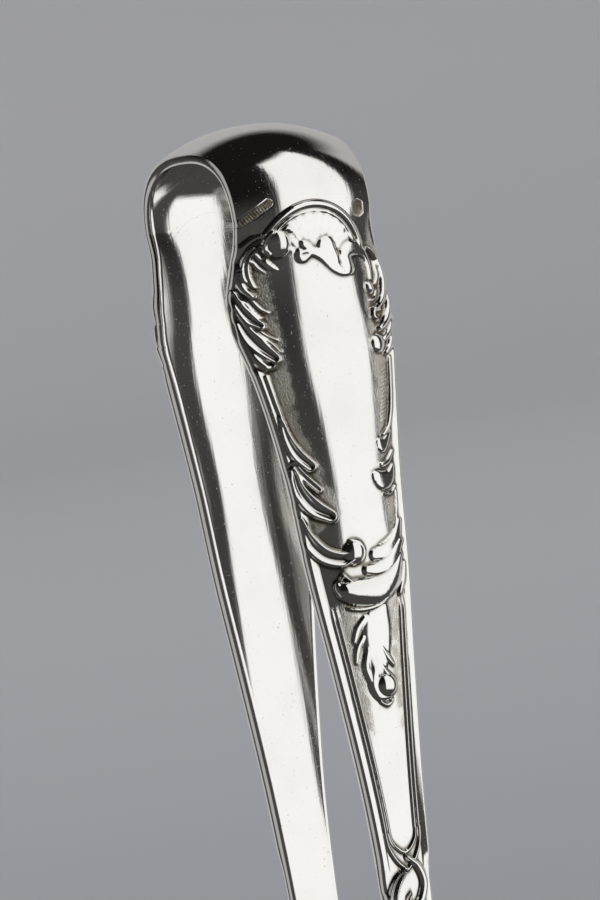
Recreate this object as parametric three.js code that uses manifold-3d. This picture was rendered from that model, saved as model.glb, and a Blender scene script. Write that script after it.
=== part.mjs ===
// Spring tongs for ice, in silver: a domed bow, two stamped arms and two cast claws.
// Millimetres, +Z up. The tongs stand upright on their claws with the bow on top.
// The arms are apart along X and their width lies along Y. The origin is midway
// between the claws, level with their lowest points.
import * as THREE from "three";
import Module from "manifold-3d";
import { mergeVertices } from "three/addons/utils/BufferGeometryUtils.js";

// Overall
const LENGTH = 170; // crown of the bow to the lowest point of the claws
const SOLDER_GAP = 0.3; // left open along each soldered seam

// Bow: half an arch runs from the crown to the spring line, where the arm goes straight down
const ARCH_RUN = 20; // along the outer face, crown to spring line
const SPRING_DEPTH = 11.4; // crown of the outer face to the spring line
const SHEET = 1.3; // sheet thickness of the bow
const ARCH_HALF_SPAN = 12.1; // inner face, in the middle of the width
const ARCH_POWER = 2.5; // a little squarer than an ellipse
const BOW_HALF_WIDTH = 9.35;
const DOME_SIDE = 2.2; // how far the edges lie inside the middle, at the spring line
const DOME_TOP = 2.6; // the same at the crown

// Seam between bow and arm: an arch in the middle, level out to the edges
const SEAM_APEX = -1.9; // along the path from the spring line
const SEAM_SIDE = 1.5;
const SEAM_ARCH_SHARE = 0.68; // share of the half width that the arch takes

// Arm: [depth below the crown, half width]
const CARTOUCHE_HALF_WIDTH = 10.85;
const ARM_HALF_WIDTH = [
  [SPRING_DEPTH, BOW_HALF_WIDTH],
  [14, 9.45],
  [17, 10.1],
  [21, CARTOUCHE_HALF_WIDTH],
  [24, CARTOUCHE_HALF_WIDTH],
  [30, 9.6],
  [42, 7.8],
  [54, 6.85],
  [66, 5.5],
  [82, 3.95],
  [102, 3.1],
  [130, 2.8],
  [142, 3.2],
];
// [depth, inner face's distance from the middle plane, on the arm's centre line]
const ARM_CENTRE = [
  [SPRING_DEPTH, ARCH_HALF_SPAN],
  [20, 11.4],
  [30, 11.5],
  [54, 11.3],
  [82, 10.9],
  [102, 10.4],
  [120, 10.6],
  [142, 12],
];
// [depth, how far the edges curl inward past the centre line]
const ARM_CUP = [
  [SPRING_DEPTH, DOME_SIDE],
  [20, 3.5],
  [30, 2.1],
  [54, 1.1],
  [82, 0.4],
  [142, 0.3],
];
// [depth, sheet thickness]
const ARM_SHEET = [
  [SPRING_DEPTH, SHEET],
  [60, 1.4],
  [100, 1.7],
  [142, 1.9],
];
const ARM_END = 142;

// Claw: a cupped palm with curved talons
const PALM_END = 157;
const PALM_HALF_WIDTH = [
  [ARM_END, 3.2],
  [146, 4.4],
  [151, 7.6],
  [155, 9.6],
  [PALM_END, 9.9],
];
const PALM_CENTRE = [
  [ARM_END, 12],
  [149, 12.5],
  [PALM_END, 12.3],
];
const PALM_CUP = [
  [ARM_END, 0.3],
  [PALM_END, 1.2],
];
const PALM_SHEET = 1.9;
const TALON_OFFSETS = [-9.1, -4.6, 0, 4.6, 9.1];
const TALON_SPLAY = 0.06; // outward drift over a talon, as a share of its offset
const TALON_START = 152; // depth, buried in the palm
const TALON_FOOT_X = 10; // where the inward hook turns level: the claws' lowest points
const TALON_TIP_X = 8.2; // every tip ends in a small flat, this far from the middle plane
const TALON_BASE_RADIUS = 1.35;
const TALON_FOOT_RADIUS = 0.66; // about the talon's radius where the hook turns level
const TALON_TIP_RADIUS = 0.6;

const BOW_ROWS = 34;
const SHEET_COLUMNS = 12; // the same on both sides of the seam, so that it stays parallel
const ARM_TOP_STEP = 1.5;
const ARM_TOP_ROWS = 12;
const ARM_LOWER_ROWS = 30;
const PALM_ROWS = 6;
const PALM_COLUMNS = 10;
const TALON_RINGS = 12;
const TALON_SIDES = 10;

/** A smooth curve through [position, value] pairs, as a function of position. */
function profile(pairs) {
  const positions = pairs.map((pair) => pair[0]);
  const values = pairs.map((pair) => pair[1]);
  const curve = new THREE.CubicInterpolant(positions, values, 1, new Float32Array(1));
  return (position) => curve.evaluate(position)[0];
}

const armHalfWidth = profile(ARM_HALF_WIDTH);
const armCentre = profile(ARM_CENTRE);
const armCup = profile(ARM_CUP);
const armSheet = profile(ARM_SHEET);
const palmHalfWidth = profile(PALM_HALF_WIDTH);
const palmCentre = profile(PALM_CENTRE);
const palmCup = profile(PALM_CUP);

/** Thickness along X or the arch's radius, so that the sheet keeps its true thickness. */
function sheetAlong(sheet, cup, halfWidth, across) {
  return sheet * Math.hypot(1, (2 * cup * across) / halfWidth);
}

/** Point of the bow. turn is 0 at the crown and 1 at the spring line. */
function archPoint(turn, across, outer) {
  const angle = (turn * Math.PI) / 2;
  const added = outer ? sheetAlong(SHEET, DOME_SIDE, BOW_HALF_WIDTH, across) : 0;
  const span = ARCH_HALF_SPAN - DOME_SIDE * across ** 2 + added;
  const rise = SPRING_DEPTH - SHEET - DOME_TOP * across ** 2 + added;
  const sine = Math.abs(Math.sin(angle) / span) ** ARCH_POWER;
  const cosine = Math.abs(Math.cos(angle) / rise) ** ARCH_POWER;
  const radius = (sine + cosine) ** (-1 / ARCH_POWER);
  const depth = SPRING_DEPTH - radius * Math.cos(angle);
  return new THREE.Vector3(radius * Math.sin(angle), across * BOW_HALF_WIDTH, LENGTH - depth);
}

/** Point of the front half of the tongs. along runs from the spring line down the arm. */
function tongsPoint(along, across, outer) {
  if (along < 0) return archPoint(1 + along / ARCH_RUN, across, outer);
  const depth = SPRING_DEPTH + along;
  const halfWidth = Math.min(armHalfWidth(depth), CARTOUCHE_HALF_WIDTH);
  const cup = armCup(depth);
  const added = outer ? sheetAlong(armSheet(depth), cup, halfWidth, across) : 0;
  const x = armCentre(depth) - cup * across ** 2 + added;
  return new THREE.Vector3(x, across * halfWidth, LENGTH - depth);
}

/** Where the seam lies along the path, for a place across the width. */
function seamAlong(across) {
  const share = Math.min(Math.abs(across) / SEAM_ARCH_SHARE, 1);
  return SEAM_APEX + (SEAM_SIDE - SEAM_APEX) * share ** 2;
}

/** A closed sheet. pointAt(row, across, outer) gives its two faces. */
function plateGeometry(rows, columns, pointAt) {
  const vertices = [];
  const triangles = [];
  const stride = columns + 1;
  for (const outer of [false, true]) {
    for (let row = 0; row <= rows; row += 1) {
      for (let column = 0; column <= columns; column += 1) {
        vertices.push(...pointAt(row, (2 * column) / columns - 1, outer).toArray());
      }
    }
  }
  const index = (row, column, outer) => row * stride + column + (outer ? (rows + 1) * stride : 0);
  const quad = (a, b, c, d) => triangles.push(a, b, c, a, c, d);
  for (let row = 0; row < rows; row += 1) {
    for (let column = 0; column < columns; column += 1) {
      for (const outer of [false, true]) {
        const corners = [
          index(row, column, outer),
          index(row + 1, column, outer),
          index(row + 1, column + 1, outer),
          index(row, column + 1, outer),
        ];
        if (!outer) corners.reverse();
        quad(...corners);
      }
    }
  }
  for (let row = 0; row < rows; row += 1) {
    quad(index(row, 0, true), index(row, 0, false), index(row + 1, 0, false), index(row + 1, 0, true));
    const last = [row, row + 1].map((r) => [index(r, columns, true), index(r, columns, false)]);
    quad(last[0][1], last[0][0], last[1][0], last[1][1]);
  }
  for (let column = 0; column < columns; column += 1) {
    const next = column + 1;
    quad(index(0, next, true), index(0, next, false), index(0, column, false), index(0, column, true));
    quad(
      index(rows, column, true),
      index(rows, column, false),
      index(rows, next, false),
      index(rows, next, true),
    );
  }
  const geometry = new THREE.BufferGeometry();
  geometry.setAttribute("position", new THREE.Float32BufferAttribute(vertices, 3));
  geometry.setIndex(triangles);
  geometry.computeVertexNormals();
  return geometry;
}

function bowGeometry() {
  return plateGeometry(BOW_ROWS, SHEET_COLUMNS, (row, across, outer) => {
    const share = 1 - (2 * row) / BOW_ROWS;
    const reach = ARCH_RUN + seamAlong(across) - SOLDER_GAP / 2;
    const point = tongsPoint(Math.abs(share) * reach - ARCH_RUN, across, outer);
    if (share > 0) point.x *= -1;
    return point;
  });
}

/** Rows are close on the ornamented top of the arm and wider apart on the stem. */
function armRowAlong(row) {
  if (row <= ARM_TOP_ROWS) return SEAM_SIDE + row * ARM_TOP_STEP;
  const topEnd = SEAM_SIDE + ARM_TOP_ROWS * ARM_TOP_STEP;
  const share = (row - ARM_TOP_ROWS) / ARM_LOWER_ROWS;
  return topEnd + share * (ARM_END - SPRING_DEPTH - topEnd);
}

function armGeometry() {
  const bentRows = 4;
  return plateGeometry(ARM_TOP_ROWS + ARM_LOWER_ROWS, SHEET_COLUMNS, (row, across, outer) => {
    const bend = Math.max(0, 1 - row / bentRows) * (seamAlong(across) - SEAM_SIDE);
    const clearance = row === 0 ? SOLDER_GAP / 2 : 0;
    return tongsPoint(armRowAlong(row) + bend + clearance, across, outer);
  });
}

function palmGeometry() {
  return plateGeometry(PALM_ROWS, PALM_COLUMNS, (row, across, outer) => {
    const start = ARM_END + SOLDER_GAP;
    const depth = start + (row / PALM_ROWS) * (PALM_END - start);
    const cup = palmCup(depth);
    const halfWidth = palmHalfWidth(depth);
    const added = outer ? sheetAlong(PALM_SHEET, cup, halfWidth, across) : 0;
    const x = palmCentre(depth) - cup * across ** 2 + added;
    return new THREE.Vector3(x, across * halfWidth, LENGTH - depth);
  });
}

/** A tapered talon: straight down, a quarter circle inward, then a short level tip. */
function talonGeometry(offset) {
  const across = offset / palmHalfWidth(PALM_END);
  const startX = palmCentre(PALM_END) - palmCup(PALM_END) * across ** 2 + PALM_SHEET / 2;
  const hook = startX - TALON_FOOT_X;
  const tip = TALON_FOOT_X - TALON_TIP_X;
  const bend = (hook * Math.PI) / 2;
  const footDepth = LENGTH - TALON_FOOT_RADIUS;
  const straight = footDepth - hook - TALON_START;
  const total = straight + bend + tip;
  const vertices = [];
  const triangles = [];
  for (let ring = 0; ring <= TALON_RINGS; ring += 1) {
    const share = ring / TALON_RINGS;
    const run = share * total;
    const turned = THREE.MathUtils.clamp((run - straight) / hook, 0, Math.PI / 2);
    const depth = TALON_START + Math.min(run, straight) + hook * Math.sin(turned);
    const level = Math.max(0, run - straight - bend);
    const x = startX - hook * (1 - Math.cos(turned)) - level;
    const y = offset * (1 + TALON_SPLAY * share);
    const radius = THREE.MathUtils.lerp(TALON_BASE_RADIUS, TALON_TIP_RADIUS, share);
    for (let side = 0; side < TALON_SIDES; side += 1) {
      const angle = (side / TALON_SIDES) * Math.PI * 2;
      const outward = radius * Math.cos(angle);
      vertices.push(
        x + outward * Math.cos(turned),
        y + radius * Math.sin(angle),
        LENGTH - depth - outward * Math.sin(turned),
      );
    }
  }
  const index = (ring, side) => ring * TALON_SIDES + (side % TALON_SIDES);
  for (let ring = 0; ring < TALON_RINGS; ring += 1) {
    for (let side = 0; side < TALON_SIDES; side += 1) {
      triangles.push(index(ring, side), index(ring + 1, side), index(ring + 1, side + 1));
      triangles.push(index(ring, side), index(ring + 1, side + 1), index(ring, side + 1));
    }
  }
  for (let side = 1; side < TALON_SIDES - 1; side += 1) {
    triangles.push(index(0, 0), index(0, side), index(0, side + 1));
    triangles.push(index(TALON_RINGS, 0), index(TALON_RINGS, side + 1), index(TALON_RINGS, side));
  }
  const geometry = new THREE.BufferGeometry();
  geometry.setAttribute("position", new THREE.Float32BufferAttribute(vertices, 3));
  geometry.setIndex(triangles);
  return geometry;
}

const wasm = await Module();
wasm.setup();

function toManifold(geometry) {
  const bare = geometry.clone();
  bare.deleteAttribute("normal");
  const merged = mergeVertices(bare, 1e-4);
  const mesh = new wasm.Mesh({
    numProp: 3,
    vertProperties: new Float32Array(merged.attributes.position.array),
    triVerts: new Uint32Array(merged.index.array),
  });
  return new wasm.Manifold(mesh);
}

function clawGeometry() {
  let claw = toManifold(palmGeometry());
  for (const offset of TALON_OFFSETS) {
    claw = claw.add(toManifold(talonGeometry(offset)));
  }
  const result = claw.getMesh();
  const geometry = new THREE.BufferGeometry();
  geometry.setAttribute("position", new THREE.BufferAttribute(result.vertProperties, 3));
  geometry.setIndex(new THREE.BufferAttribute(result.triVerts, 1));
  geometry.computeVertexNormals();
  return geometry;
}

const polishedSilver = { color: 0xd9d8d2, roughness: 0.16, metalness: 1 };
const castSilver = { color: 0xcfcdc5, roughness: 0.24, metalness: 1 };

function piece(name, geometry, finish) {
  const mesh = new THREE.Mesh(geometry, new THREE.MeshStandardMaterial(finish));
  mesh.name = name;
  return mesh;
}

const tongs = new THREE.Group();
tongs.add(piece("bow", bowGeometry(), polishedSilver));
for (const [side, turn] of [["front", 0], ["back", Math.PI]]) {
  const arm = new THREE.Group();
  arm.rotation.z = turn;
  arm.add(piece(`${side}_arm`, armGeometry(), polishedSilver));
  arm.add(piece(`${side}_claw`, clawGeometry(), castSilver));
  tongs.add(arm);
}

export default tongs;
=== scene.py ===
"""Silver ice tongs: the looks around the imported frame. Lengths are in millimetres until a mesh is made."""
import math

import bpy
import numpy as np
from mathutils import Matrix, Vector


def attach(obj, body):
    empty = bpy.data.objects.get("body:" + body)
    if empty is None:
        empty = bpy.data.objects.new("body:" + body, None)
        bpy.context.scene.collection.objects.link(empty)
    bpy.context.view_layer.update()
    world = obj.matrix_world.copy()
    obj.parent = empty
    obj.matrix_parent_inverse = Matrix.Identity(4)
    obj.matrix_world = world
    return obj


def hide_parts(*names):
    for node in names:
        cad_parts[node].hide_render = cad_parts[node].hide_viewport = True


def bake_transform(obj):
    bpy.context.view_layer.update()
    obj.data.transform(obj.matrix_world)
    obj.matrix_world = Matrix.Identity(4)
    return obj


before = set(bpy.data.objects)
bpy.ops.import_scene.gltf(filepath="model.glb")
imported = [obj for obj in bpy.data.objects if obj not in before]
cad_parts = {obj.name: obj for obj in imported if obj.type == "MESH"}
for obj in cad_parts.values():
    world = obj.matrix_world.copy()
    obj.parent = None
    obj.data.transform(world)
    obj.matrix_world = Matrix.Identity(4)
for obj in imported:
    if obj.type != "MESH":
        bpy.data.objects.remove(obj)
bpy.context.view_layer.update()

MM = 0.001
LENGTH = 170.0
SPRING = 11.4  # crown to the line where the arch turns into the arm
ARCH_RUN = 20.0
CROWN = SPRING - ARCH_RUN
BOW_SHEET = 1.3
ARCH_SPAN = 12.1
ARCH_POWER = 2.5
BOW_HALF_WIDTH = 9.35
DOME_SIDE = 2.2
DOME_TOP = 2.6
WIDEST = 10.85
ARM_END = 142.0
PALM_END = 157.0
RELIEF_END = 107.0
EDGE = 0.42  # how far the rounded edge stands out past the faces
GAP = 0.004  # left open on each side of a seam between bow and arm
OUTER_COLUMNS = 192
INNER_COLUMNS = 24
EDGE_POINTS = 6
INSIDE_DEPTH = 30.0  # a place between the arms, which every outer face looks away from

HALF_WIDTH = [(11.4, 9.35), (14, 9.45), (17, 10.1), (21, 10.85), (24, 10.85), (30, 9.6), (42, 7.8)]
HALF_WIDTH += [(54, 6.85), (66, 5.5), (82, 3.95), (102, 3.1), (130, 2.8), (142, 3.2)]
CENTRE = [(11.4, 12.1), (20, 11.4), (30, 11.5), (54, 11.3), (82, 10.9), (102, 10.4), (120, 10.6), (142, 12)]
CUP = [(11.4, 2.2), (20, 3.5), (30, 2.1), (54, 1.1), (82, 0.4), (142, 0.3)]
SHEET = [(11.4, 1.3), (60, 1.4), (100, 1.7), (142, 1.9)]
# how much fuller the middle of the panel is than its edges
SWELL = [(18, 0), (28, 0.45), (40, 0.98), (54, 0.62), (66, 0.3), (86, 0.08), (102, 0)]
PALM_HALF_WIDTH = [(142, 3.2), (146, 4.4), (151, 7.6), (155, 9.6), (157, 9.9)]
PALM_CENTRE = [(142, 12), (149, 12.5), (157, 12.3)]
PALM_CUP = [(142, 0.3), (157, 1.2)]
PALM_SHEET = 1.9


def profile(pairs):
    """A smooth curve through (place, value) pairs, as a function of place."""
    place, value = np.array(pairs, float).T
    step = np.diff(place)
    rise = np.diff(value) / step
    slope = np.append(rise, rise[-1])
    slope[1:-1] = (rise[:-1] * step[1:] + rise[1:] * step[:-1]) / (step[1:] + step[:-1])

    def at(where):
        where = np.asarray(where, float)
        piece = np.clip(np.searchsorted(place, where) - 1, 0, len(step) - 1)
        t = np.clip((where - place[piece]) / step[piece], 0, 1)
        run = step[piece]
        start = (2 * t**3 - 3 * t**2 + 1) * value[piece] + (t**3 - 2 * t**2 + t) * run * slope[piece]
        end = (3 * t**2 - 2 * t**3) * value[piece + 1]
        return start + end + (t**3 - t**2) * run * slope[piece + 1]

    return at


half_width, centre, cup, sheet = profile(HALF_WIDTH), profile(CENTRE), profile(CUP), profile(SHEET)
swell_at = profile(SWELL)
palm_half_width, palm_centre, palm_cup = profile(PALM_HALF_WIDTH), profile(PALM_CENTRE), profile(PALM_CUP)


def width_at(depth):
    return np.where(depth < SPRING, BOW_HALF_WIDTH, np.minimum(half_width(depth), WIDEST))


def surface(depth, across, outer):
    """Points of the front half. Above the spring line, depth counts along the arch."""
    wide, bow_cup = width_at(depth), cup(depth)
    arm_x = centre(depth) - bow_cup * across**2 + swell_at(depth) * (1 - across**2)
    if outer:
        arm_x = arm_x + sheet(depth) * np.hypot(1, 2 * bow_cup * across / wide)
    angle = (1 + (depth - SPRING) / ARCH_RUN) * math.pi / 2
    added = BOW_SHEET * np.hypot(1, 2 * DOME_SIDE * across / BOW_HALF_WIDTH) if outer else 0
    span = ARCH_SPAN - DOME_SIDE * across**2 + added
    rise = SPRING - BOW_SHEET - DOME_TOP * across**2 + added
    sine = np.abs(np.sin(angle) / span) ** ARCH_POWER
    cosine = np.abs(np.cos(angle) / rise) ** ARCH_POWER
    radius = (sine + cosine) ** (-1 / ARCH_POWER)
    arch = depth < SPRING
    x = np.where(arch, radius * np.sin(angle), arm_x)
    down = np.where(arch, SPRING - radius * np.cos(angle), depth)
    return np.stack([x, across * wide, LENGTH - down], -1)


def palm_surface(depth, across, outer):
    wide, curl = palm_half_width(depth), palm_cup(depth)
    x = palm_centre(depth) - curl * across**2
    if outer:
        x = x + PALM_SHEET * np.hypot(1, 2 * curl * across / wide)
    return np.stack([x, across * wide, LENGTH - depth], -1)


def unit(vectors):
    return vectors / np.maximum(np.linalg.norm(vectors, axis=-1, keepdims=True), 1e-12)


def blur(values, rows, columns):
    """Three box blurs in each direction, close to a round one."""
    for reach, axis in [(rows, 0), (columns, 1)] * 3:
        pad = [(reach + 1, reach) if axis == side else (0, 0) for side in (0, 1)]
        total = np.cumsum(np.pad(values, pad, mode="edge"), axis=axis)
        count = values.shape[axis]
        high = np.take(total, np.arange(count) + 2 * reach + 1, axis=axis)
        low = np.take(total, np.arange(count), axis=axis)
        values = (high - low) / (2 * reach + 1)
    return values


def plate(name, depth, wide, shape, height=None, marks=None):
    """A closed sheet with a modelled outer face and round edges.

    depth[row, column] says where each row runs.
    """
    rows = depth.shape[0]
    reach = (1 - EDGE / wide)[:, None]
    across = np.linspace(-1, 1, OUTER_COLUMNS + 1)[None] * reach
    top = shape(depth, across, True)
    normal = unit(np.cross(np.gradient(top, axis=1), np.gradient(top, axis=0)))
    inside = np.array([0, 0, LENGTH - INSIDE_DEPTH])
    normal *= np.sign((normal * (top - inside)).sum(-1).mean())
    if height is not None:
        top = top + normal * height[..., None]
    inner_across = np.linspace(1, -1, INNER_COLUMNS + 1)[None] * reach
    every = OUTER_COLUMNS // INNER_COLUMNS
    bottom = shape(depth[:, ::-1][:, ::every], inner_across, False)
    turn = (np.arange(EDGE_POINTS) + 1) / (EDGE_POINTS + 1) * math.pi
    sides = []
    for upper, lower, away in [(top[:, -1], bottom[:, 0], 1), (top[:, 0], bottom[:, -1], -1)]:
        middle, half = (upper + lower) / 2, (upper - lower) / 2
        out = np.cross(unit(half), unit(np.gradient(upper, axis=0)))
        out = unit(out * np.sign(out[:, 1:2]) * away) * EDGE
        ring = middle[:, None] + half[:, None] * np.cos(turn)[:, None]
        sides.append(ring + out[:, None] * np.sin(turn)[:, None])
    loop = np.concatenate([top, sides[0], bottom, sides[1][:, ::-1]], 1)
    loop[..., 1] = np.clip(loop[..., 1], -WIDEST, WIDEST)
    count = loop.shape[1]
    first = np.arange(rows - 1)[:, None] * count
    column = np.arange(count)[None]
    after = (column + 1) % count
    quads = np.stack([first + column, first + count + column, first + count + after, first + after], -1)
    faces = quads.reshape(-1, 4).tolist()
    inner_start = OUTER_COLUMNS + 1 + EDGE_POINTS
    for row, flip in [(0, False), (rows - 1, True)]:
        base = row * count
        last = base + inner_start + INNER_COLUMNS
        right = [base + OUTER_COLUMNS + i for i in range(EDGE_POINTS + 2)]
        left = [last + i for i in range(EDGE_POINTS + 1)] + [base]
        caps = [right, left]
        for column in range(INNER_COLUMNS):
            outer_part = [base + column * every + i for i in range(every + 1)]
            caps.append(outer_part + [last - column - 1, last - column])
        faces += [cap[::-1] if flip else cap for cap in caps]
    mesh = bpy.data.meshes.new(name)
    mesh.from_pydata((loop.reshape(-1, 3) * MM).tolist(), [], faces)
    mesh.validate()
    for key, values in (marks or {}).items():
        full = np.zeros(loop.shape[:2], np.float32)
        full[:, : OUTER_COLUMNS + 1] = values
        mesh.attributes.new(key, "FLOAT", "POINT").data.foreach_set("value", full.ravel())
    mesh.shade_smooth()
    mesh.set_sharp_from_angle(angle=math.radians(75))
    ob = bpy.data.objects.new(name, mesh)
    bpy.context.scene.collection.objects.link(ob)
    return ob


def grid_across(wide):
    """Places across the outer face, in millimetres, row by row."""
    reach = (1 - EDGE / wide)[:, None]
    return np.linspace(-1, 1, OUTER_COLUMNS + 1)[None] * reach * wide[:, None]


def turned(ob, name):
    """A copy turned half round about the upright axis."""
    copy = bpy.data.objects.new(name, ob.data.copy())
    copy.data.transform(Matrix.Rotation(math.pi, 4, "Z"))
    bpy.context.scene.collection.objects.link(copy)
    return copy


# ---------------------------------------------------------------- relief of the arms
# Places are (across, depth) in millimetres: across the width, and down from the crown.


def smooth(low, high, value):
    share = np.clip((value - low) / (high - low), 0.0, 1.0)
    return share * share * (3.0 - 2.0 * share)


def spline(points, count):
    """Points evenly spread over a smooth curve through a few points."""
    points = np.array(points, float)
    ends = [2 * points[0] - points[1], *points, 2 * points[-1] - points[-2]]
    pieces = len(points) - 1
    place = np.linspace(0, pieces, count)
    index = np.minimum(place.astype(int), pieces - 1)
    t = (place - index)[:, None]
    a, b, c, d = (np.array(ends)[index + shift] for shift in range(4))
    return 0.5 * (2 * b + (c - a) * t + (2 * a - 5 * b + 4 * c - d) * t**2 + (3 * b - a - 3 * c + d) * t**3)


class Stroke:
    """A band along a curve: which grid points it covers, and where they lie in it."""

    def __init__(self, across, depth, points, widths, count=72):
        path = spline([(*p, w) for p, w in zip(points, widths)], count)
        line, width = path[:, :2], np.maximum(path[:, 2], 0.02)
        reach = width.max() * 1.3 + 0.1
        low, high = line.min(0) - reach, line.max(0) + reach
        self.index = np.nonzero(
            (across > low[0]) & (across < high[0]) & (depth > low[1]) & (depth < high[1])
        )
        spots = np.stack([across[self.index], depth[self.index]], -1)
        best = np.full(len(spots), 1e9)
        self.along = np.zeros(len(spots))
        for i in range(count - 1):
            step = line[i + 1] - line[i]
            rel = spots - line[i]
            t = np.clip((rel @ step) / max(step @ step, 1e-9), 0, 1)
            away = rel - t[:, None] * step
            w = width[i] + (width[i + 1] - width[i]) * t
            ratio = np.hypot(away[:, 0], away[:, 1]) / w
            near = ratio < best
            best[near] = ratio[near]
            self.along[near] = (i + t[near]) / (count - 1)
        self.ratio = best


def bead(stroke):
    """Half-round section."""
    return np.sqrt(np.clip(1 - stroke.ratio**2, 0, 1))


def plateau(stroke):
    """A nearly flat top with steep round shoulders."""
    return np.clip(1 - np.clip(stroke.ratio, 0, 1) ** 5, 0, 1) ** 0.6 * (1.08 - 0.08 * stroke.ratio**2)


def swell(stroke):
    """A broad swelling with gentler shoulders than a bead."""
    return np.clip(1 - stroke.ratio**2, 0, 1) ** 0.72


def dish(stroke):
    """Round rims with a valley between them."""
    rim = np.sqrt(np.clip(1 - ((stroke.ratio - 0.7) / 0.3) ** 2, 0, 1))
    inside = 0.3 + 0.7 * smooth(0.0, 0.7, stroke.ratio)
    return np.where(stroke.ratio > 0.7, rim, inside)


class Relief:
    """Heights and furrows over the outer face, drawn stroke by stroke."""

    def __init__(self, across, depth):
        self.across, self.depth = across, depth
        self.height = np.zeros_like(across)
        self.cut = np.zeros_like(across)

    def ridge(self, points, widths, height, section=bead):
        """A raised band. The height is one number, or several from its start to its end."""
        stroke = Stroke(self.across, self.depth, points, widths)
        heights = np.atleast_1d(height)
        high = np.interp(stroke.along, np.linspace(0, 1, len(heights)), heights)
        part = high * section(stroke) * (stroke.ratio < 1)
        self.height[stroke.index] = np.maximum(self.height[stroke.index], part)

    def scoop(self, points, widths, depth):
        """A round-bottomed furrow."""
        stroke = Stroke(self.across, self.depth, points, widths)
        part = depth * np.clip(1 - stroke.ratio**2, 0, 1)
        self.cut[stroke.index] = np.maximum(self.cut[stroke.index], part)

    def boss(self, centre, radius, height, stretch=1.0, tilt=0.0):
        """A round button."""
        turn = math.radians(tilt)
        x, y = self.across - centre[0], self.depth - centre[1]
        a = (x * math.cos(turn) + y * math.sin(turn)) / radius
        b = (-x * math.sin(turn) + y * math.cos(turn)) / (radius * stretch)
        part = height * np.clip(1 - (a * a + b * b), 0, 1) ** 0.5
        self.height = np.maximum(self.height, part)


RING_CENTRE = (-0.4, 17.6)
RING_RADIUS = 7.2


def arc(centre, radius, start, end, count=7):
    """Points of an arc. Angles in degrees, 0 to the right, 90 towards the bow."""
    turns = np.radians(np.linspace(start, end, count))
    return [(centre[0] + radius * math.cos(a), centre[1] - radius * math.sin(a)) for a in turns]


# each pair is where a part of the arm begins to take over, and where it has
SHOULDER_START = (12.9, 14.5)
STEM_START = (27.5, 29.5)
FLANGE_END = (88, 92)


def draw_edges(art, wide):
    """The raised flange along both edges of the stem, and the thin edge of the shoulders."""
    edge_in = wide - np.abs(art.across)
    in_stem = smooth(*STEM_START, art.depth)
    stem = in_stem * (1 - smooth(*FLANGE_END, art.depth))
    bevel = np.clip(1 - edge_in / 1.15, 0, 1)
    art.height = np.maximum(art.height, stem * (0.5 * bevel + 0.12 * (1 - smooth(1.1, 1.2, edge_in))))
    shoulder = smooth(*SHOULDER_START, art.depth) * (1 - in_stem)
    art.height = np.maximum(art.height, shoulder * 0.3 * np.clip(1 - edge_in / 0.45, 0, 1) ** 0.5)


def from_ring(radius, degrees):
    """A place seen from the middle of the arch ring."""
    angle = math.radians(degrees)
    return RING_CENTRE[0] + radius * math.cos(angle), RING_CENTRE[1] - radius * math.sin(angle)


def draw_top(art):
    """The arch ring, the shell inside it, and the leaf scroll below."""
    # a round moulding with a finer one inside it
    art.ridge(arc(RING_CENTRE, RING_RADIUS, 146, 10, 15), [0.4] * 15, 0.3)
    art.ridge(arc(RING_CENTRE, RING_RADIUS - 0.72, 144, 14, 15), [0.18] * 15, 0.1)
    # faint flutes, with two small scallops at their outer ends
    for flute in range(10):
        line = [from_ring(radius, 144 - 13 * flute) for radius in (3.4, 4.8, 5.7, 6.1)]
        art.ridge(line, [0.25, 0.5, 0.62, 0.4], 0.035)
    for scallop in range(2):
        art.ridge(arc(from_ring(5.4, 140 - 13 * scallop), 0.5, 150, 10), [0.14] * 7, 0.22)
    # leaf scroll under the arch, low and flat-topped
    art.ridge(
        [(-1.2, 16.3), (-1.9, 16.7), (-2.3, 16.4), (-2.35, 15.8)],
        [0.36, 0.4, 0.5, 0.42], 0.17, plateau,
    )
    art.ridge([(-0.6, 15.9), (-1.3, 15.2), (-1.75, 14.9)], [0.5, 0.5, 0.46], 0.16, plateau)
    art.ridge(
        [(-1.8, 15.9), (-0.6, 16.0), (0.8, 16.6), (2.2, 17.9), (3.4, 18.6), (4.5, 18.7)],
        [0.4, 0.5, 0.75, 0.85, 0.8, 0.72], 0.18, plateau,
    )
    art.ridge([(1.35, 15.65), (1.8, 16.5), (2.5, 17.3)], [1.3, 1.1, 0.8], 0.21, plateau)
    art.ridge(
        [(4.3, 18.4), (4.05, 17.0), (4.9, 16.3), (6.2, 16.5), (7.3, 17.4), (7.8, 18.8), (7.8, 20.3)],
        [0.85, 0.9, 0.95, 0.78, 0.55, 0.42, 0.2], 0.24, plateau,
    )
    art.scoop([(3.0, 16.0), (3.1, 17.3), (3.3, 18.4)], [0.12, 0.14, 0.1], 0.1)
    art.scoop([(-2.0, 16.15), (-1.3, 16.05)], [0.1, 0.08], 0.12)


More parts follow.
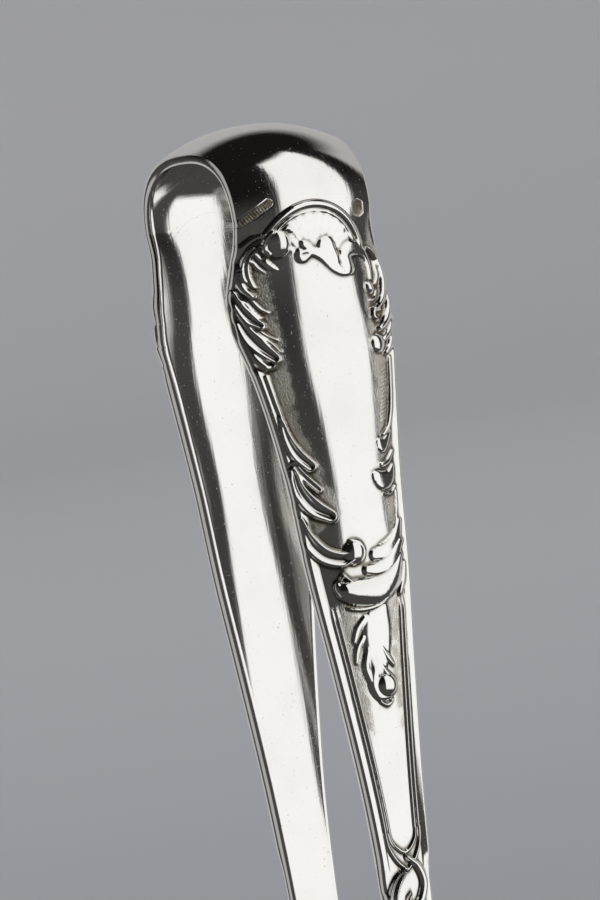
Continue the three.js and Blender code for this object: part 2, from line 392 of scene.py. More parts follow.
def draw_left(art):
    """The bud, fronds, leaves and C-scroll along the left edge."""
    # bud at the head of the border
    art.boss((-4.95, 14.4), 1.25, 0.5, 1.28)
    art.ridge([(-6.0, 15.6), (-6.5, 14.6), (-6.1, 13.5), (-5.3, 12.9)], [0.2, 0.3, 0.34, 0.2], 0.5)
    art.ridge([(-6.3, 13.1), (-7.7, 13.5), (-9.1, 14.6), (-10.0, 16.2)], [0.3, 0.36, 0.4, 0.3], 0.4)
    # fronds, each from the edge inward and down
    art.ridge(
        [(-6.9, 14.5), (-8.0, 15.0), (-8.7, 16.3), (-8.65, 17.9), (-8.05, 19.1)],
        [0.2, 0.4, 0.5, 0.42, 0.16], 0.55, dish,
    )
    for x, d in ((-7.3, 15.4), (-6.9, 16.0), (-7.7, 16.3), (-6.3, 16.2)):
        art.ridge([(x - 0.4, d - 0.5), (x + 0.2, d + 0.5), (x + 1.0, d + 1.3)], [0.1, 0.17, 0.06], 0.24)
    art.ridge([(-9.75, 16.2), (-9.7, 17.8), (-9.25, 19.1), (-8.45, 20.1)], [0.3, 0.46, 0.5, 0.42], 0.62)
    art.ridge([(-9.2, 16.6), (-9.15, 18.0), (-8.8, 19.1)], [0.14, 0.2, 0.1], 0.5)
    art.ridge(
        [(-10.3, 19.4), (-9.9, 21.2), (-9.0, 22.8), (-8.0, 23.7)],
        [0.3, 0.62, 0.72, 0.5], 0.6, dish,
    )
    art.ridge([(-9.4, 20.4), (-8.6, 21.8), (-7.9, 22.8)], [0.12, 0.2, 0.1], 0.44)
    art.ridge([(-8.7, 20.3), (-7.9, 21.6), (-7.0, 22.3)], [0.12, 0.2, 0.1], 0.32)
    art.ridge(
        [(-10.45, 21.4), (-9.9, 23.8), (-8.7, 26.0), (-7.2, 27.7)],
        [0.3, 0.8, 0.98, 0.72], 0.64, dish,
    )
    art.ridge([(-9.6, 23.2), (-8.6, 24.6), (-7.3, 25.9), (-6.5, 27.0)], [0.12, 0.24, 0.24, 0.14], 0.5)
    art.ridge([(-8.6, 23.9), (-7.7, 24.9), (-6.6, 25.6)], [0.12, 0.22, 0.1], 0.34)
    art.ridge(
        [(-10.55, 23.2), (-10.15, 25.7), (-9.25, 27.6), (-8.35, 28.6)],
        [0.35, 0.62, 0.68, 0.5], 0.74,
    )
    art.ridge([(-8.6, 28.6), (-7.7, 28.7), (-6.9, 28.1)], [0.3, 0.34, 0.18], 0.5)
    # the smooth band below and its leaves
    art.ridge([(-8.45, 29.6), (-7.95, 32.5), (-7.45, 35.2)], [0.16, 0.2, 0.2], 0.42)
    art.ridge(
        [(-7.6, 34.6), (-7.2, 37.2), (-6.4, 39.3), (-5.15, 40.9)],
        [0.2, 0.5, 0.78, 0.72], 0.55, dish,
    )
    art.ridge([(-7.0, 40.2), (-6.0, 42.0), (-4.6, 43.8)], [0.2, 0.42, 0.42], 0.52, dish)
    art.ridge(
        [(-7.1, 41.0), (-6.65, 43.6), (-5.4, 45.8), (-3.7, 47.1)],
        [0.3, 0.85, 1.12, 0.85], 0.7, dish,
    )
    # C-scroll to the lower volute
    art.ridge(
        [(-7.0, 47.0), (-6.5, 49.4), (-5.1, 51.5), (-3.2, 52.4), (-1.8, 52.2)],
        [0.35, 0.85, 1.05, 1.0, 0.8], 0.62, dish,
    )
    art.boss((-1.35, 51.9), 1.35, 0.7, 1.15, 25)
    art.ridge(arc((-1.5, 51.9), 1.5, 100, -60), [0.1, 0.16, 0.22, 0.24, 0.22, 0.16, 0.1], 0.4)


def draw_right(art):
    """The fronds, leaves and big scroll along the right edge."""
    art.ridge(
        [(7.9, 16.6), (9.2, 18.2), (9.85, 20.4), (9.4, 22.4), (8.3, 23.5), (7.1, 23.9)],
        [0.2, 0.42, 0.52, 0.52, 0.42, 0.24], 0.6,
    )
    art.ridge([(8.7, 18.4), (8.95, 20.0), (8.5, 21.0)], [0.16, 0.26, 0.14], 0.44)
    art.boss((7.35, 21.3), 0.62, 0.5, 1.35, -20)
    art.ridge([(8.5, 21.8), (7.9, 22.6), (7.1, 22.8)], [0.14, 0.22, 0.12], 0.34)
    art.ridge([(8.3, 24.1), (7.4, 24.0), (7.05, 24.7), (7.6, 25.3)], [0.2, 0.32, 0.34, 0.2], 0.5)
    art.ridge([(10.2, 22.6), (9.9, 24.2), (9.0, 25.5), (7.6, 26.3)], [0.3, 0.55, 0.6, 0.4], 0.6)
    art.ridge([(10.1, 25.2), (9.2, 26.8), (8.0, 27.6)], [0.3, 0.5, 0.4], 0.55)
    art.boss((7.0, 28.0), 1.15, 0.5)
    art.ridge([(9.4, 27.6), (8.8, 28.7), (7.9, 29.3)], [0.35, 0.42, 0.22], 0.5)
    art.ridge(
        [(8.5, 29.8), (7.9, 33.0), (7.2, 36.0), (6.3, 38.0), (5.1, 38.8)],
        [0.16, 0.22, 0.3, 0.36, 0.18], 0.42,
    )
    for d in np.arange(31.0, 37.0, 0.45):
        x = 7.55 - 0.3 * (d - 31) * 0.85
        art.ridge([(x, d), (x - 0.55, d + 0.3)], [0.1, 0.06], 0.14)
    art.ridge(
        [(6.5, 38.5), (5.6, 39.5), (4.9, 40.0), (4.5, 39.5)],
        [0.3, 0.62, 0.85, 0.55], 0.22, plateau,
    )
    art.ridge([(6.5, 40.9), (5.5, 41.9), (4.3, 42.2)], [0.3, 0.42, 0.3], 0.24, plateau)
    art.ridge(
        [(6.2, 42.6), (5.4, 43.9), (4.2, 44.1), (3.4, 43.6)],
        [0.35, 0.95, 1.15, 0.85], 0.24, plateau,
    )
    art.boss((3.2, 43.4), 0.7, 0.26)
    art.ridge([(6.2, 45.0), (5.2, 45.7), (4.1, 45.7)], [0.2, 0.26, 0.14], 0.36)
    art.ridge(
        [(6.2, 45.6), (5.9, 48.0), (5.0, 50.1), (3.6, 51.1), (2.1, 51.6)],
        [0.14, 0.16, 0.18, 0.18, 0.1], 0.26,
    )
    # leaf lobes into the big scroll
    art.ridge(
        [(6.0, 49.2), (4.9, 51.4), (3.2, 52.4), (1.4, 52.6)],
        [0.45, 0.95, 0.98, 0.72], 0.3, plateau,
    )
    art.ridge(
        [(5.7, 51.6), (3.9, 53.6), (1.7, 54.3), (0.1, 54.2)],
        [0.55, 0.95, 0.82, 0.6], 0.36, plateau,
    )
    art.ridge(
        [(5.4, 53.2), (3.7, 55.6), (1.2, 56.7), (-1.4, 56.6), (-3.0, 56.2)],
        [0.6, 1.5, 1.75, 1.7, 1.25], (0.4, 0.5, 0.62, 0.95, 1.05), swell,
    )
    art.boss((-3.9, 55.7), 0.5, 0.6, 1.7)
    art.ridge(
        [(-3.6, 55.0), (-3.1, 54.4), (-2.6, 54.8), (-2.0, 55.3), (-1.0, 55.6)],
        [0.2, 0.3, 0.24, 0.22, 0.12], 0.5,
    )
    art.ridge([(-3.1, 58.35), (-1.2, 58.75), (1.0, 58.6), (2.8, 57.8)], [0.12, 0.2, 0.2, 0.12], 0.3)
    art.ridge([(5.8, 54.2), (5.3, 56.2), (4.4, 57.7)], [0.25, 0.46, 0.3], 0.45)


def draw_pendant(art):
    """The hanging leaves and button below the scrolls."""
    art.ridge([(1.4, 59.2), (0.5, 61.2), (0.1, 63.8), (-0.1, 66.0)], [1.2, 2.1, 1.9, 1.2], 0.24, swell)
    art.ridge([(-1.0, 59.8), (-2.2, 61.0), (-2.8, 62.4)], [0.4, 0.5, 0.3], 0.16, swell)
    art.ridge([(-1.6, 62.0), (-2.5, 63.3), (-2.9, 64.9)], [0.3, 0.42, 0.25], 0.16, swell)
    art.ridge([(-1.2, 63.6), (-1.7, 65.6), (-1.3, 67.4)], [0.4, 0.55, 0.5], 0.26, swell)
    art.ridge([(-0.6, 66.2), (-0.9, 67.8), (-0.3, 69.2), (0.8, 69.5)], [0.7, 0.9, 0.8, 0.5], 0.3, swell)
    art.ridge([(0.6, 63.4), (1.3, 64.8), (2.0, 65.9)], [0.2, 0.4, 0.26], 0.3, swell)
    art.ridge([(0.2, 65.4), (0.8, 66.6), (1.5, 67.2)], [0.2, 0.36, 0.24], 0.28, swell)
    art.boss((0.75, 68.2), 1.45, 0.72, 0.95)
    art.ridge([(-0.5, 70.0), (0.4, 70.5), (1.3, 70.0)], [0.16, 0.2, 0.12], 0.34)


def draw_threads(art, wide):
    """Two fine threads inside each edge band of the stem, and the ornament below them."""
    edge_in = wide - np.abs(art.across)
    run = smooth(57.5, 60, art.depth) * (1 - smooth(85.2, 86.4, art.depth))
    for place, half, high in ((1.42, 0.2, 0.3), (1.95, 0.2, 0.26)):
        thread = np.sqrt(np.clip(1 - ((edge_in - place) / half) ** 2, 0, 1))
        art.height = np.maximum(art.height, run * high * thread)
    for side in (-1, 1):
        outer = [(side * 2.35, 85.6), (side * 2.1, 87.4), (side * 1.2, 89.2), (0.0, 90.4)]
        inner = [(side * 1.85, 85.6), (side * 1.5, 86.9), (side * 0.7, 87.9), (0.0, 88.3)]
        art.ridge(outer, [0.2, 0.22, 0.24, 0.2], 0.34)
        art.ridge(inner, [0.16, 0.18, 0.2, 0.2], 0.28)
        art.ridge([(side * 0.4, 100.4), (side * 1.6, 101.6), (side * 1.5, 103.4)], [0.3, 0.4, 0.12], 0.42)
    art.ridge(
        [(0.0, 88.8), (1.4, 90.2), (2.0, 92.2), (1.3, 94.2), (0.2, 94.9), (-0.5, 94.1), (0.0, 93.3)],
        [0.3, 0.5, 0.6, 0.6, 0.45, 0.35, 0.2], 0.58,
    )
    art.ridge([(-0.4, 90.4), (-1.7, 91.6), (-2.5, 93.6), (-2.2, 96.2)], [0.3, 0.55, 0.6, 0.3], 0.55, dish)
    art.ridge(
        [(0.6, 95.4), (-0.7, 96.2), (-1.5, 97.8), (-0.9, 99.5), (0.2, 99.7), (0.5, 98.9)],
        [0.3, 0.5, 0.55, 0.5, 0.4, 0.2], 0.52,
    )
    art.ridge([(1.6, 94.6), (2.2, 96.4), (1.6, 98.4)], [0.3, 0.45, 0.15], 0.45)
    art.ridge([(0.0, 100.2), (0.0, 102.4), (0.0, 105.2)], [0.8, 0.75, 0.12], 0.5)


def draw_arm(y, depth, wide):
    """All the relief of one arm."""
    art = Relief(y, depth)
    draw_top(art)
    draw_left(art)
    draw_right(art)
    draw_pendant(art)
    shoulder = 1 - smooth(28.0, 30.0, depth)
    keep = smooth(-0.1, 0.7, wide - np.abs(y))
    art.height *= 1 - shoulder * (1 - keep)
    draw_edges(art, wide)
    draw_threads(art, wide)
    return art


# ---------------------------------------------------------------- arms
RING_APEX_RADIUS = 7.75
SEAM_SIDE = 12.95
SEAM_REACH = 6.2
LEVEL_START = 20.0  # from here down the rows run level
HOLLOW_REACH = 0.3
# inner edges of the matted ground beside the panel, as (depth, across)
GROUND_LEFT = [(15, -5.5), (18, -6.0), (22, -6.2), (36, -5.7), (41, -4.2), (47, -2.8), (52, -9)]
GROUND_RIGHT = [(16, 6.2), (19, 6.8), (30, 6.1), (38, 4.9), (44, 4.4), (50, 4.4), (52, 9)]


def seam_depth(y):
    """The seam follows the arch ring, then runs level out to the edges."""
    off = np.clip(np.abs(y - RING_CENTRE[0]), 0, SEAM_REACH)
    arch = RING_CENTRE[1] - np.sqrt(RING_APEX_RADIUS**2 - off**2)
    return np.minimum(arch, SEAM_SIDE)


def arm_rows():
    """Depths of the rows at the edge of the arm: close over the relief, wide below it."""
    stops = [(SEAM_SIDE + GAP, LEVEL_START, 0.1), (LEVEL_START, 72, 0.12)]
    stops += [(72, RELIEF_END, 0.15), (RELIEF_END, ARM_END, 0.5)]
    parts = [np.arange(start, end, step) for start, end, step in stops]
    return np.append(np.concatenate(parts), ARM_END - GAP)


def mark_arm(height, y, depth):
    """Where tarnish and painted shade gather in the hollows and at the feet of the raised strokes, and where
    the ground beside the panel is matted.
    """
    across_step = round(HOLLOW_REACH * OUTER_COLUMNS / (2 * WIDEST))
    # Tarnish in the broad hollows, and tarnish with painted shade as a dark line along the foot of each
    # raised stroke (crevice and outline).
    wide_hollow = np.clip((blur(height, 4, across_step) - height) * 3.4, 0, 1)
    crevice = np.clip((blur(height, 1, 1) - height) * 22 - 0.15, 0, 1)
    low = np.minimum(height, 0.25)
    outline = np.clip((blur(low, 2, 2) - low) * 24 - 0.3, 0, 1)
    tarnish_shade_mark = np.maximum(np.maximum(wide_hollow * 0.35, crevice), outline)
    left, right = (np.interp(depth, *np.array(line, float).T) for line in (GROUND_LEFT, GROUND_RIGHT))
    outside = np.maximum(left - y, y - right)
    ground = smooth(-0.9, 1.3, outside) * smooth(15.5, 18, depth) * (1 - smooth(49, 51, depth))
    stem = smooth(57, 59, depth) * (1 - smooth(72, 76, depth)) * smooth(1.2, 2.4, np.abs(y)) * 0.6
    flat = 1 - smooth(0.03, 0.12, height)
    return {"hollow_tarnish_shade": tarnish_shade_mark, "ground": np.maximum(ground, stem) * flat}


def make_arm():
    """The front arm, from the seam at the arch ring down to the claw."""
    rows = arm_rows()
    wide = width_at(rows)
    y = grid_across(wide)
    share = np.clip((LEVEL_START - rows) / (LEVEL_START - SEAM_SIDE), 0, 1)[:, None]
    depth = rows[:, None] - share * (SEAM_SIDE - seam_depth(y))
    relief = draw_arm(y, depth, wide[:, None])
    height = blur(relief.height - relief.cut, 0, 1)
    marks = mark_arm(height, y, depth)
    height = height * smooth(0, 0.25, rows[-1] - depth)
    return plate("front_arm_silver", depth, wide, surface, height, marks)


# ---------------------------------------------------------------- bow
BOW_ROWS = 300
OBLONG_PLACE, OBLONG_TILT = (-7.1, 10.45), -27
OBLONG_HALF_LENGTH, OBLONG_HALF_WIDTH = 2.0, 0.44
RIB_PITCH = 0.34
LOZENGE_PLACE = (6.9, 11.75)
LOZENGE_HALF_WIDTH, LOZENGE_HALF_HEIGHT = 0.8, 1.08
LOZENGE_DEPTH = 0.16


def punches(y, depth):
    """Plain stand-ins for the marks struck into the bow: a ribbed oblong and a sunk lozenge, with tarnish
    and painted shade in their grooves.
    """
    turn = math.radians(OBLONG_TILT)
    x, down = y - OBLONG_PLACE[0], depth - OBLONG_PLACE[1]
    along = x * math.cos(turn) + down * math.sin(turn)
    over = down * math.cos(turn) - x * math.sin(turn)
    edge = OBLONG_HALF_WIDTH - np.hypot(np.clip(np.abs(along) - OBLONG_HALF_LENGTH, 0, None), over)
    inside = smooth(-0.04, 0.06, edge)
    ribs = 0.5 + 0.5 * np.cos(along * math.tau / RIB_PITCH)
    rim = smooth(-0.22, -0.04, edge) * (1 - inside) * 0.06
    height = inside * (0.04 + 0.13 * ribs) - rim
    x, down = np.abs(y - LOZENGE_PLACE[0]), np.abs(depth - LOZENGE_PLACE[1])
    from_side = np.minimum(LOZENGE_HALF_WIDTH - x, LOZENGE_HALF_HEIGHT - down - 0.5 * x)
    lozenge = smooth(-0.08, 0.08, from_side)
    # Tarnish and painted shade between the ribs and in the sunk lozenge.
    dark = np.maximum(inside * (1 - ribs) * 0.5, lozenge * 0.4)
    rough = 1.7 * np.maximum(inside, lozenge)
    return height - lozenge * LOZENGE_DEPTH, dark, rough


def make_bow():
    """The front half of the bow, from the crown to the seam."""
    share = np.linspace(0, 1, BOW_ROWS)
    start = CROWN + GAP / 2
    rows = start + share * (SEAM_SIDE - GAP - CROWN)
    wide = width_at(np.minimum(rows, SPRING))
    y = grid_across(wide)
    seam = seam_depth(y)
    depth = start + share[:, None] * (seam - GAP - CROWN)
    height, dark, rough = punches(y, depth)
    fade = smooth(0, 0.5, seam - depth)
    marks = {"hollow_tarnish_shade": dark * fade, "ground": rough * fade}
    return plate("bow_front_silver", depth, wide, surface, height * fade, marks)


# ---------------------------------------------------------------- claws
TALONS = (-9.1, -4.55, 0.0, 4.55, 9.1)
TALON_STEPS, TALON_SIDES = 90, 20
TENDON_START = 145.0
WEB_DEPTH = 2.6
LEVEL_X, TIP_X = 10.0, 8.2  # where a talon has turned level, and where it ends
TIP_HEIGHT = 0.68  # of a level talon's middle line
CLAW_GAP = 0.1  # left open under the arm
VOXEL = 0.17


def talon(offset):
    """A tapered talon: a tendon down the palm, a quarter circle inward, a short level tip."""
    across = offset / float(palm_half_width(PALM_END))
    end_x = float(palm_centre(PALM_END)) - float(palm_cup(PALM_END)) * across**2 + PALM_SHEET / 2
    hook = end_x - LEVEL_X
    straight = LENGTH - TIP_HEIGHT - hook - TENDON_START
    total = straight + hook * math.pi / 2 + LEVEL_X - TIP_X
    run = np.linspace(0, total, TALON_STEPS)
    bend = np.clip((run - straight) / hook, 0, math.pi / 2)
    level = np.clip(run - straight - hook * math.pi / 2, 0, None)
    down = TENDON_START + np.minimum(run, straight) + hook * np.sin(bend)
    on_palm = np.minimum(down, PALM_END)
    palm_x = palm_centre(on_palm) - palm_cup(on_palm) * across**2 + PALM_SHEET / 2
    lift = 0.2 * (1 - smooth(PALM_END - 4, PALM_END + 2, down))
    x = palm_x + lift - hook * (1 - np.cos(bend)) - level
    side = across * palm_half_width(on_palm) * (1 + 0.05 * smooth(PALM_END, LENGTH, down))
    grown = smooth(0, PALM_END - TENDON_START, run)
    radius = (0.35 + 0.9 * grown) * (1 - 0.6 * smooth(0.35, 1.15, run / total))
    turn = np.arange(TALON_SIDES) / TALON_SIDES * math.tau
    outward = radius[:, None] * np.cos(turn)
    point_x = x[:, None] + outward * np.cos(bend)[:, None]
    point_y = side[:, None] + radius[:, None] * np.sin(turn)
    point_z = LENGTH - down[:, None] - outward * np.sin(bend)[:, None]
    points = np.stack([point_x, point_y, point_z], -1).reshape(-1, 3)
    last = (TALON_STEPS - 1) * TALON_SIDES
    faces = []
    for near in range(0, last, TALON_SIDES):
        far = near + TALON_SIDES
        for side in range(TALON_SIDES):
            after = (side + 1) % TALON_SIDES
            faces.append((near + side, near + after, far + after, far + side))
    faces += [tuple(range(TALON_SIDES))[::-1], tuple(range(last, last + TALON_SIDES))]
    mesh = bpy.data.meshes.new("talon")
    mesh.from_pydata((points * MM).tolist(), [], faces)
    ob = bpy.data.objects.new("talon", mesh)
    bpy.context.scene.collection.objects.link(ob)
    return ob


def make_claw():
    """The front claw: palm and talons joined into one smooth casting."""
    rows = np.linspace(ARM_END + CLAW_GAP, PALM_END, 100)
    across = np.linspace(-1, 1, OUTER_COLUMNS + 1)
    web = WEB_DEPTH * np.sin(across * math.pi * float(palm_half_width(PALM_END)) / TALONS[-2]) ** 2
    depth = rows[:, None] - web * ((rows - rows[0]) / (PALM_END - rows[0]))[:, None] ** 2
    palm = plate("front_claw_silver", depth, palm_half_width(rows), palm_surface)
    parts = [palm] + [talon(offset) for offset in TALONS]
    bpy.context.view_layer.update()
    with bpy.context.temp_override(active_object=palm, selected_editable_objects=parts):
        bpy.ops.object.join()
    remesh = palm.modifiers.new("remesh", "REMESH")
    remesh.mode, remesh.voxel_size = "VOXEL", VOXEL * MM
    soft = palm.modifiers.new("soft", "SMOOTH")
    soft.factor, soft.iterations = 0.5, 10
    graph = bpy.context.evaluated_depsgraph_get()
    final = bpy.data.meshes.new_from_object(palm.evaluated_get(graph))
    palm.modifiers.clear()
    palm.data = final
    final.shade_smooth()
    return palm


# ---------------------------------------------------------------- silver
class Nodes:
    """Short ways to add nodes to a node tree. All but make give the new node's output."""

    def __init__(self, tree):
        self.nodes, self.links = tree.nodes, tree.links

    def make(self, kind, **values):
        made = self.nodes.new(kind)
        for key, value in values.items():
            setattr(made, key, value)
        return made

    def join(self, value, socket):
        """Wires an output to a socket, or sets the socket to a number or colour."""
        if isinstance(value, (int, float, tuple)):
            socket.default_value = value
        else:
            self.links.new(value, socket)

    def math(self, operation, *values):
        made = self.make("ShaderNodeMath", operation=operation)
        for socket, value in zip(made.inputs, values):
            self.join(value, socket)
        return made.outputs[0]

    def plus(self, first, second):
        return self.math("ADD", first, second)

    def minus(self, first, second):
        return self.math("SUBTRACT", first, second)

    def times(self, first, second):
        return self.math("MULTIPLY", first, second)

    def ramp(self, value, start, end, kind="SMOOTHSTEP"):
        """0 up to start, 1 from end on."""
        made = self.make("ShaderNodeMapRange", interpolation_type=kind)
        self.join(value, made.inputs["Value"])
        made.inputs["From Min"].default_value = start
        made.inputs["From Max"].default_value = end
        return made.outputs["Result"]

    def mix(self, share, first, second):
        """One colour turning into another as share goes from 0 to 1."""
        made = self.make("ShaderNodeMix", data_type="RGBA")
        for socket, value in zip((made.inputs[0], made.inputs[6], made.inputs[7]), (share, first, second)):
            self.join(value, socket)
        return made.outputs[2]

    def noise(self, scale, detail, stretch=(1, 1, 1)):
        place = self.make("ShaderNodeMapping")
        place.inputs["Scale"].default_value = stretch
        self.join(self.make("ShaderNodeTexCoord").outputs["Object"], place.inputs["Vector"])
        made = self.make("ShaderNodeTexNoise")
        made.inputs["Scale"].default_value = scale
        made.inputs["Detail"].default_value = detail
        self.join(place.outputs[0], made.inputs["Vector"])
        return made.outputs["Fac"]


# Brown of tarnish, also used as painted shade in the hollows.
TARNISH_SHADE_BROWN = (0.13, 0.095, 0.055, 1)
CREAM = (0.93, 0.86, 0.73, 1)


def silver(name, color, dull):
    """Polished silver: fine scratches, soft unevenness, tarnish with painted shade in the hollows, a matted
    ground.
    """
    material = bpy.data.materials.new(name)
    material.use_nodes = True
    tree = Nodes(material.node_tree)
    shader = tree.nodes["Principled BSDF"]
    shader.inputs["Metallic"].default_value = 1.0
    cloud, grain = tree.noise(160, 4), tree.noise(5200, 5)
    scratch, brushed = tree.noise(2200, 2, (1, 1, 0.06)), tree.noise(4200, 2, (0.1, 0.1, 1))
    patchy = tree.ramp(tree.noise(700, 5), 0.3, 0.66)
    speck = tree.ramp(tree.noise(4300, 1), 0.7, 0.8)
    tarnish_shade_mark = tree.make("ShaderNodeAttribute", attribute_name="hollow_tarnish_shade").outputs["Fac"]
    ground = tree.make("ShaderNodeAttribute", attribute_name="ground").outputs["Fac"]
    ground = tree.times(ground, tree.plus(0.35, tree.times(patchy, 0.8)))

    stain = tree.math("MAXIMUM", tree.times(tree.minus(cloud, 0.45), 0.2), 0.0)
    # The hollow mark pulls the colour to the brown: tarnish, with painted shade at the feet of the strokes
    # and in the punch grooves; the ground and the stains add real tarnish.
    tarnish_and_shade = tree.plus(tree.times(tarnish_shade_mark, 0.95), tree.times(ground, 0.1))
    tarnish_and_shade = tree.times(tree.plus(tarnish_and_shade, stain), 0.85)
    clean = tree.mix(tree.times(ground, 0.7), (*color, 1), CREAM)
    tree.join(tree.mix(tarnish_and_shade, clean, TARNISH_SHADE_BROWN), shader.inputs["Base Color"])

    rough = tree.plus(tree.times(ground, 0.46), tree.times(scratch, 0.06))
    rough = tree.plus(rough, tree.times(cloud, 0.06))
    rough = tree.plus(rough, tree.times(speck, 0.5))
    tree.join(tree.plus(rough, dull), shader.inputs["Roughness"])

    grit = tree.plus(tree.times(ground, 2.2), 0.03)
    relief = tree.times(tree.minus(grain, 0.5), grit)
    relief = tree.plus(relief, tree.times(scratch, 0.11))
    relief = tree.plus(relief, tree.times(brushed, 0.05))
    bump = tree.make("ShaderNodeBump")
    bump.inputs["Strength"].default_value = 0.6
    bump.inputs["Distance"].default_value = 0.0001
    tree.join(relief, bump.inputs["Height"])
    tree.join(bump.outputs[0], shader.inputs["Normal"])
    return material


polished = silver("polished_silver", (0.93, 0.922, 0.905), 0.03)
cast = silver("cast_silver", (0.86, 0.845, 0.8), 0.12)


def fit(ob, material, node_name):
    """Gives a piece its material, and hides the imported part of the node it stands for."""
    ob.data.materials.clear()
    ob.data.materials.append(material)
    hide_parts(node_name)


front_arm = make_arm()
back_arm = turned(front_arm, "back_arm_silver")
front_claw = make_claw()
back_claw = turned(front_claw, "back_claw_silver")
front_bow = make_bow()
back_bow = turned(front_bow, "bow_back_silver")
for side, arm, claw, half, sign in [
    ("front", front_arm, front_claw, front_bow, 1),
    ("back", back_arm, back_claw, back_bow, -1),
]:
    fit(arm, polished, f"{side}_arm")
    fit(claw, cast, f"{side}_claw")
    fit(half, polished, "bow")
    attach(arm, f"{side}_arm")
    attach(claw, f"{side}_arm")
    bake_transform(half)


# ---------------------------------------------------------------- studio
AZIMUTH, ELEVATION, ROLL = (math.radians(a) for a in (60, 3.5, 8.6))
DISTANCE = 0.62
FOCAL_LENGTH = 205.8
TARGET_HEIGHT, TARGET_SHIFT = 0.1305, 0.00102
right = Vector((math.cos(AZIMUTH), math.sin(AZIMUTH), 0))
toward = Vector((math.sin(AZIMUTH), -math.cos(AZIMUTH), 0))
back = toward * math.cos(ELEVATION) + Vector((0, 0, math.sin(ELEVATION)))
up = back.cross(right)
image_right = right * math.cos(ROLL) - up * math.sin(ROLL)
image_up = right * math.sin(ROLL) + up * math.cos(ROLL)

lens = bpy.data.cameras.new("camera")
lens.lens = FOCAL_LENGTH
lens.sensor_width = 36
lens.clip_start, lens.clip_end = 0.01, 50
camera = bpy.data.objects.new("camera", lens)
turn = Matrix((image_right, image_up, back)).transposed()
target = Vector((0, 0, TARGET_HEIGHT)) + image_right * TARGET_SHIFT
camera.matrix_world = Matrix.Translation(target + back * DISTANCE) @ turn.to_4x4()
bpy.context.scene.collection.objects.link(camera)
bpy.context.scene.camera = camera

FLOOR_RADIUS, BOWL_RISE = 2.4, 1.6
FLOOR_SIDES = 96
FLOOR_NEAR_PAINTED_SHADE = (0.30, 0.303, 0.325, 1)
FLOOR_FAR_PAINTED_LIGHT = (0.80, 0.80, 0.835, 1)


def tone_floor(material):
    """Painted light and shade: the floor's colour is darkest near the middle and grows paler outward, so
    that it runs evenly into the backdrop.
    """
    tree = Nodes(material.node_tree)
    length = tree.make("ShaderNodeVectorMath", operation="LENGTH")
    tree.join(tree.make("ShaderNodeTexCoord").outputs["Object"], length.inputs[0])
    share = tree.ramp(length.outputs["Value"], 0.3, 3.2, "LINEAR")
    tree.join(tree.mix(share, FLOOR_NEAR_PAINTED_SHADE, FLOOR_FAR_PAINTED_LIGHT), tree.nodes["Principled BSDF"].inputs["Base Color"])


def make_floor():
    """A pale floor that curves up into a backdrop all round."""
    bend = np.linspace(0, math.pi / 2, 25)
    radius = np.concatenate([[0.15, 0.6, 1.4], FLOOR_RADIUS + BOWL_RISE * np.sin(bend)])
    height = np.concatenate([[0, 0, 0], BOWL_RISE * (1 - np.cos(bend))])
    turn = np.arange(FLOOR_SIDES) / FLOOR_SIDES * math.tau
    ring = np.stack([np.outer(radius, np.cos(turn)), np.outer(radius, np.sin(turn))], -1)
    points = np.concatenate([ring, np.broadcast_to(height[:, None, None], (*ring.shape[:2], 1))], -1)
    faces = [tuple(range(FLOOR_SIDES))]
    for near in range(0, (len(radius) - 1) * FLOOR_SIDES, FLOOR_SIDES):
        far = near + FLOOR_SIDES
        for side in range(FLOOR_SIDES):
            after = (side + 1) % FLOOR_SIDES
            faces.append((near + side, far + side, far + after, near + after))
    mesh = bpy.data.meshes.new("floor")
    mesh.from_pydata(points.reshape(-1, 3).tolist(), [], faces)
    mesh.shade_smooth()
    ob = bpy.data.objects.new("floor", mesh)
    bpy.context.scene.collection.objects.link(ob)
    material = bpy.data.materials.new("floor")
    material.use_nodes = True
    shader = material.node_tree.nodes["Principled BSDF"]
    shader.inputs["Roughness"].default_value = 0.9
    shader.inputs["Specular IOR Level"].default_value = 0.1
    tone_floor(material)
    mesh.materials.append(material)
    return ob


floor = make_floor()
floor.visible_glossy = False

# What the silver mirrors: soft boxes round a dark studio.
# (turn to the right of the camera's side from, to, softness, elevation from, to, softness, brightness)
BOXES = [
    (39, 93, 4, -26, 64, 8, 0.93),
    (-108, -66, 10, -50, 45, 14, 0.36),
    (114, 232, 8, -50, 40, 20, 0.42),
]


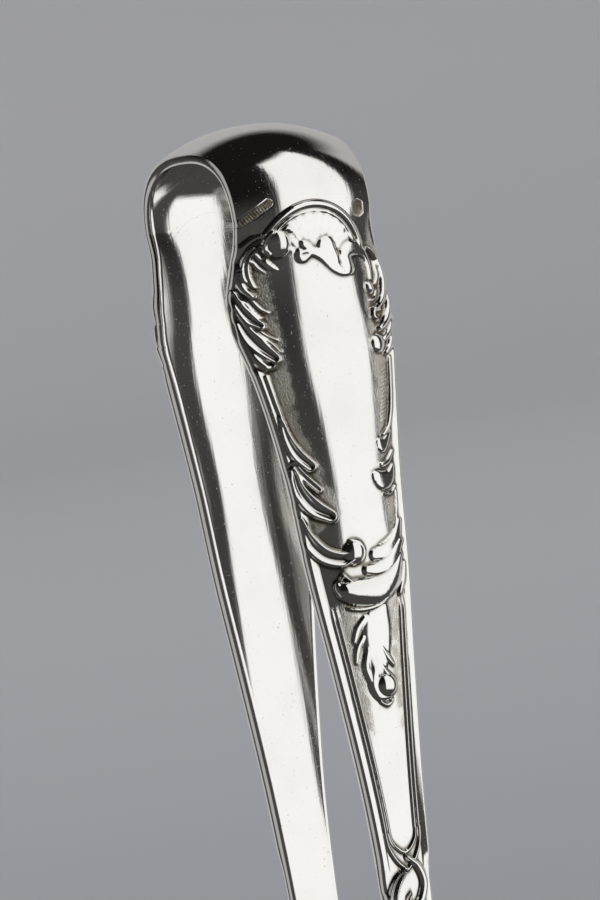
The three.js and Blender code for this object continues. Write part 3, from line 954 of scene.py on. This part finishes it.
ROOM, ROOM_BELOW = 0.008, 0.05  # brightness of the dark room, and what is added low down
DIM_TINT = (1.0, 0.965, 0.91, 1)
BRIGHT_TINT = (1.0, 0.995, 0.975, 1)


def make_world():
    """A dark room, a little paler below, with the soft boxes in it."""
    world = bpy.data.worlds.new("studio")
    bpy.context.scene.world = world
    world.use_nodes = True
    tree = Nodes(world.node_tree)
    place = tree.make("ShaderNodeTexCoord").outputs["Generated"]

    def along(direction):
        made = tree.make("ShaderNodeVectorMath", operation="DOT_PRODUCT")
        tree.join(place, made.inputs[0])
        made.inputs[1].default_value = direction
        return made.outputs["Value"]

    def rising(value, edge, soft):
        return tree.ramp(value, edge - soft / 2, edge + soft / 2)

    def falling(value, edge, soft):
        return tree.minus(1.0, rising(value, edge, soft))

    elevation = tree.math("DEGREES", tree.math("ARCSINE", along((0, 0, 1))))
    total = tree.plus(ROOM, tree.times(ROOM_BELOW, tree.minus(1.0, tree.ramp(elevation, -12, 25))))
    for start, end, soft, low, high, soft_up, bright in BOXES:
        middle, half = math.radians((start + end) / 2), (end - start) / 2
        forward = toward * math.cos(middle) + right * math.sin(middle)
        side = right * math.cos(middle) - toward * math.sin(middle)
        off = tree.math("DEGREES", tree.math("ARCTAN2", along(side), along(forward)))
        patch = falling(tree.math("ABSOLUTE", off), half, soft)
        patch = tree.times(patch, rising(elevation, low, soft_up))
        patch = tree.times(patch, falling(elevation, high, soft_up))
        total = tree.plus(tree.times(patch, bright), total)
    background = tree.nodes["Background"]
    tree.join(total, background.inputs["Strength"])
    tree.join(tree.mix(tree.ramp(total, 0.04, 0.5), DIM_TINT, BRIGHT_TINT), background.inputs["Color"])


make_world()


def overhead():
    """Even light for floor and backdrop, kept out of the silver's reflections."""
    light = bpy.data.lights.new("overhead", "AREA")
    light.shape, light.size = "DISK", 3.0
    light.energy = 58
    light.color = (0.97, 0.985, 1.0)
    ob = bpy.data.objects.new("overhead", light)
    ob.location = (0, 0, 2.4)
    ob.visible_glossy = False
    ob.visible_camera = False
    bpy.context.scene.collection.objects.link(ob)


overhead()
bpy.context.scene.view_settings.view_transform = "Standard"
bpy.context.scene.view_settings.look = "None"
